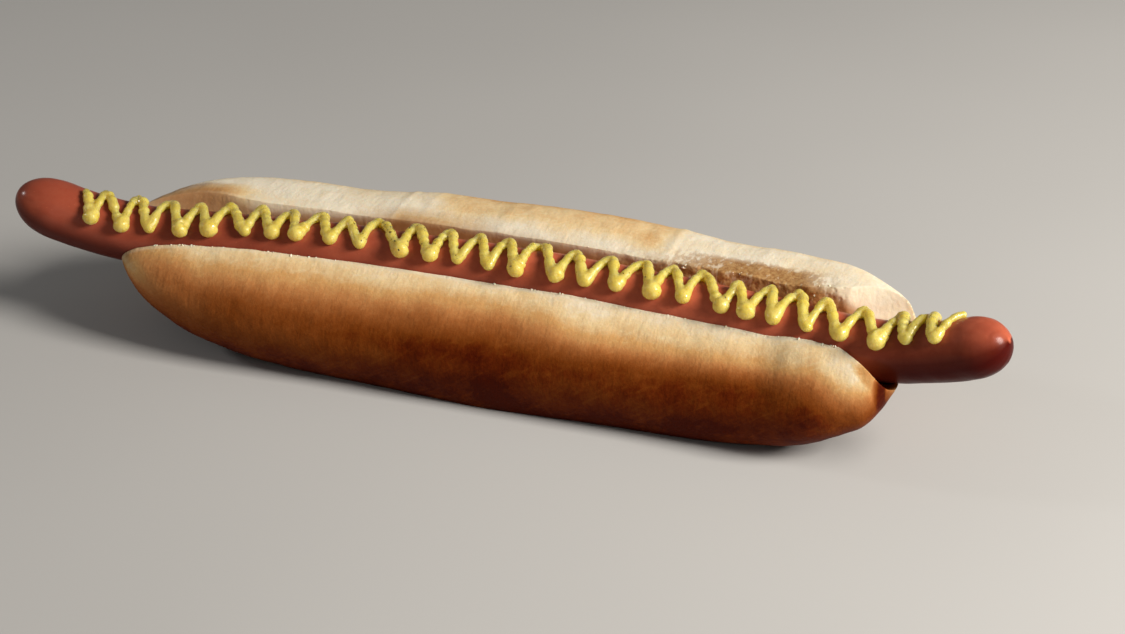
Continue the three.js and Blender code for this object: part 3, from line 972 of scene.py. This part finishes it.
def new_material(name, **constants):
    """A material with one Principled shader whose constant sockets are set directly."""
    material = bpy.data.materials.new(name)
    material.use_nodes = True
    shader = material.node_tree.nodes["Principled BSDF"]
    for socket, value in constants.items():
        shader.inputs[socket.replace("_", " ")].default_value = value
    return material, Graph(material.node_tree), shader


def bread_material():
    """Crust that bakes from cream to brown, and is darker low down by painted shade, with pale
    frayed cut edges, and crumb that is tan, partly by painted shade, and moist where it is torn,
    along the sausage."""
    material, g, shader = new_material(
        "bread", Subsurface_Weight=0.12, Subsurface_Radius=(1.0, 0.6, 0.35),
        Subsurface_Scale=0.002, Specular_IOR_Level=0.05,
    )
    place = g.place()
    marks = ("cut", "bake_and_shade", "edge", "tan_and_shade", "torn")
    cut, bake_and_shade, edge, tan_and_shade, torn_here = (g.attribute(name) for name in marks)
    moist = g.times(tan_and_shade, torn_here)
    broad = blotches(g, place, 26, detail=2.0)
    middle = blotches(g, place, 6, detail=4.0)
    fine = blotches(g, place, 1.1)
    fibres = blotches(g, place, 2.2, low=0.35, detail=4.0, stretch=(1.0, 0.35, 0.35))
    tufts = blotches(g, place, 1.6, detail=4.0, stretch=(1.0, 0.6, 0.4))
    slanted = g.node("ShaderNodeMapping", {"Vector": place, "Rotation": (0.0, 0.6, 0.0)})
    streaks = blotches(g, slanted.outputs[0], 1.5, low=0.5, high=0.75, detail=2.0,
                       stretch=(0.12, 1.0, 1.0))
    # Mottling of the crust, as a change of how baked it is.
    shift = g.maths("ADD", g.swing(broad, 0.06), g.swing(middle, 0.05))
    shift = g.maths("ADD", shift, g.swing(fine, 0.03))
    shift = g.maths("SUBTRACT", shift, g.times(streaks, 0.04))
    baked = g.maths("ADD", bake_and_shade, shift, clamp=True)
    crust = g.ramp(baked, CRUST_COLOURS)
    frayed = g.times(edge, g.maths("MULTIPLY_ADD", fibres, 0.5, 0.05))
    crust = g.mix(frayed, crust, paint(240, 226, 200))
    crumb = g.mix(middle, paint(226, 210, 180), paint(238, 224, 196))
    colour = g.mix(cut, crust, crumb)
    # The tan of the back wall, partly the crumb's own and partly painted shade beside the sausage,
    # its ragged patches and the wetter tan where it is torn.
    dry_tan = g.mix(middle, paint(156, 106, 64), paint(176, 130, 86))
    wet_tan = g.mix(fine, paint(156, 110, 66), paint(190, 148, 97))
    ragged = g.times(g.swing(tufts, 1.8), torn_here)
    tan_share = g.maths("MULTIPLY_ADD", tan_and_shade, 1.5, g.times(shift, 2.0))
    tan_share = g.maths("ADD", tan_share, ragged, clamp=True)
    colour = g.mix(g.times(tan_share, tan_and_shade), colour, g.mix(moist, dry_tan, wet_tan))
    rough = g.maths("MULTIPLY_ADD", baked, -0.14, 0.62)
    rough = g.maths("ADD", rough, g.times(cut, 0.2))
    rough = g.maths("SUBTRACT", rough, g.times(moist, 0.25))
    skin = g.maths("ADD", g.times(fine, 0.35), g.times(fibres, 0.5))
    torn_height = g.maths("SUBTRACT", middle, pores(g, place, spacing=1.5, reach=0.5))
    height = g.node("ShaderNodeMix", {0: cut, 2: skin, 3: torn_height}).outputs[0]
    normal = g.bump(height, strength=0.35, distance=0.35)
    g.feed(shader, {"Base Color": colour, "Roughness": rough, "Normal": normal})
    return material


def sausage_material():
    """Smooth moist skin: orange red with soft darker and lighter blotches and fine pores, and
    deep red and dull where painted shade darkens it, past the bun's ends."""
    material, g, shader = new_material(
        "sausage", Subsurface_Weight=0.05, Subsurface_Radius=(1.0, 0.3, 0.15),
        Subsurface_Scale=0.0015, Specular_IOR_Level=0.07, Coat_Roughness=0.18,
    )
    place = g.place()
    dark = g.attribute("dark")
    broad = blotches(g, place, 18, detail=2.0, stretch=(0.5, 1, 1))
    middle = blotches(g, place, 3.5, low=0.35, high=0.65, detail=4.0)
    fine = blotches(g, place, 0.7, low=0.35, high=0.65)
    specks = pores(g, place, spacing=1.7, reach=0.16)
    ripe = g.maths("ADD", g.attribute("ripe"), g.swing(broad, 0.4), clamp=True)
    colour = g.mix(ripe, paint(158, 76, 54), paint(205, 106, 76))
    colour = g.mix(g.times(middle, 0.3), colour, paint(150, 62, 42))
    colour = g.mix(g.times(specks, 0.3), colour, paint(214, 120, 84))
    # Painted shade: deep red low down past the bun's ends and on the right overhang, with less coat.
    colour = g.mix(dark, colour, paint(68, 7, 1))
    height = g.maths("ADD", g.times(middle, 0.7), g.times(fine, 0.2))
    g.feed(shader, {
        "Base Color": colour,
        "Coat Weight": g.maths("MULTIPLY_ADD", dark, -0.36, 0.38, clamp=True),
        "Roughness": g.maths("MULTIPLY_ADD", middle, 0.1, 0.3),
        "Normal": g.bump(height, strength=0.25, distance=0.12),
    })
    return material


def mustard_material():
    """Wet mustard: warm yellow, a little deeper in blotches, with fine grain."""
    material, g, shader = new_material(
        "mustard", Subsurface_Weight=1.0, Subsurface_Radius=(1.0, 0.9, 0.35),
        Subsurface_Scale=0.006, Specular_IOR_Level=0.4, Coat_Weight=0.5, Coat_Roughness=0.08,
    )
    place = g.place()
    middle = blotches(g, place, 3.0)
    fine = blotches(g, place, 0.5, low=0.35, high=0.65, detail=2.0)
    colour = g.mix(middle, paint(210, 185, 84), paint(221, 200, 110))
    colour = g.mix(g.times(fine, 0.2), colour, paint(212, 177, 64))
    height = g.maths("ADD", g.times(fine, 0.35), middle)
    g.feed(shader, {
        "Base Color": colour,
        "Roughness": g.maths("MULTIPLY_ADD", fine, 0.12, 0.26),
        "Normal": g.bump(height, strength=0.8, distance=0.2),
    })
    return material


def mottled_material(name, size, first, second, detail=2.0, low=0.3, high=0.7, **constants):
    """A plain finish of two near colours that change over blotches of a size."""
    material, g, shader = new_material(name, **constants)
    tone = blotches(g, g.place(), size, low, high, detail)
    g.feed(shader, {"Base Color": g.mix(tone, paint(*first), paint(*second))})
    return material


# ----- stage

def make_floor():
    """A plain pale floor under the bun."""
    bpy.ops.mesh.primitive_plane_add(size=8)
    floor = bpy.context.object
    floor.name = "floor"
    floor.data.materials.append(mottled_material(
        "floor", 300, (190, 188, 185), (195, 193, 190), Roughness=0.8, Specular_IOR_Level=0.2))


def make_camera():
    """A long lens that looks down at the hot dog from the front and a little from the right."""
    azimuth = math.radians(19.4)
    elevation = math.radians(27.34)
    distance = 0.704
    target = Vector((0.01837, -0.00545, 0.0193))
    back = Vector((
        math.sin(azimuth) * math.cos(elevation),
        -math.cos(azimuth) * math.cos(elevation),
        math.sin(elevation),
    ))
    data = bpy.data.cameras.new("camera")
    data.sensor_width = 36
    data.lens = 76.8
    data.clip_start = 0.01
    camera = bpy.data.objects.new("camera", data)
    camera.location = target + back * distance
    camera.rotation_euler = back.to_track_quat("Z", "Y").to_euler()
    bpy.context.scene.collection.objects.link(camera)
    bpy.context.scene.camera = camera


def make_lamp(name, place, size, power, colour):
    """A soft square lamp that faces the hot dog."""
    data = bpy.data.lights.new(name, "AREA")
    data.size = size
    data.energy = power
    data.color = colour
    lamp = bpy.data.objects.new(name, data)
    lamp.location = place
    from_middle = Vector(place) - Vector((0, 0, 0.02))
    lamp.rotation_euler = from_middle.to_track_quat("Z", "Y").to_euler()
    bpy.context.scene.collection.objects.link(lamp)


def make_lights():
    """A soft key lamp on the right, a weak fill in front, a small lamp on the left that shows as
    a glint on the skin, and a dim pale room."""
    make_lamp("key", (0.94, -0.10, 0.60), size=0.38, power=18.5, colour=(1.0, 0.96, 0.90))
    make_lamp("fill", (0.3, -1.0, 0.50), size=0.9, power=0.6, colour=(1.0, 0.98, 0.95))
    make_lamp("glint", (-1.0, -0.1, 0.45), size=0.12, power=1.2, colour=(1.0, 1.0, 1.0))
    world = bpy.data.worlds.new("room")
    world.use_nodes = True
    background = world.node_tree.nodes["Background"]
    background.inputs["Color"].default_value = paint(230, 229, 227)
    background.inputs["Strength"].default_value = 0.12
    bpy.context.scene.world = world


# ----- the hot dog

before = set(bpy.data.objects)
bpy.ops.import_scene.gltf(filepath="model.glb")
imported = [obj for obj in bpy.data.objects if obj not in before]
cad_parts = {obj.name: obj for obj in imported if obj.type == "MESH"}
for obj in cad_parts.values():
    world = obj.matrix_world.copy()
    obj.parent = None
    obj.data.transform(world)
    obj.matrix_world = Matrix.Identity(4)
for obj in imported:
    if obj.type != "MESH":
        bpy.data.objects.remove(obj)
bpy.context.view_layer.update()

bun = make_bun(bread_material())
sausage = make_sausage(sausage_material())
bead = make_mustard(mustard_material())
flecks = make_flecks(bead, mottled_material(
    "mustard_herb", 4, (84, 66, 18), (48, 44, 16), detail=1.0, low=0.4, high=0.6, Roughness=0.4))
crumbs = make_crumbs(bun, mottled_material(
    "crumb", 2, (238, 222, 190), (250, 240, 220), low=0.35, high=0.65,
    Roughness=0.8, Subsurface_Weight=0.15, Subsurface_Scale=0.001))

for piece in (bun, sausage, bead, flecks, crumbs):
    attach(piece, "root")
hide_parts("bun")
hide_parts("sausage")
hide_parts("sausage")

make_floor()
make_camera()
make_lights()
bpy.context.scene.view_settings.view_transform = "Standard"
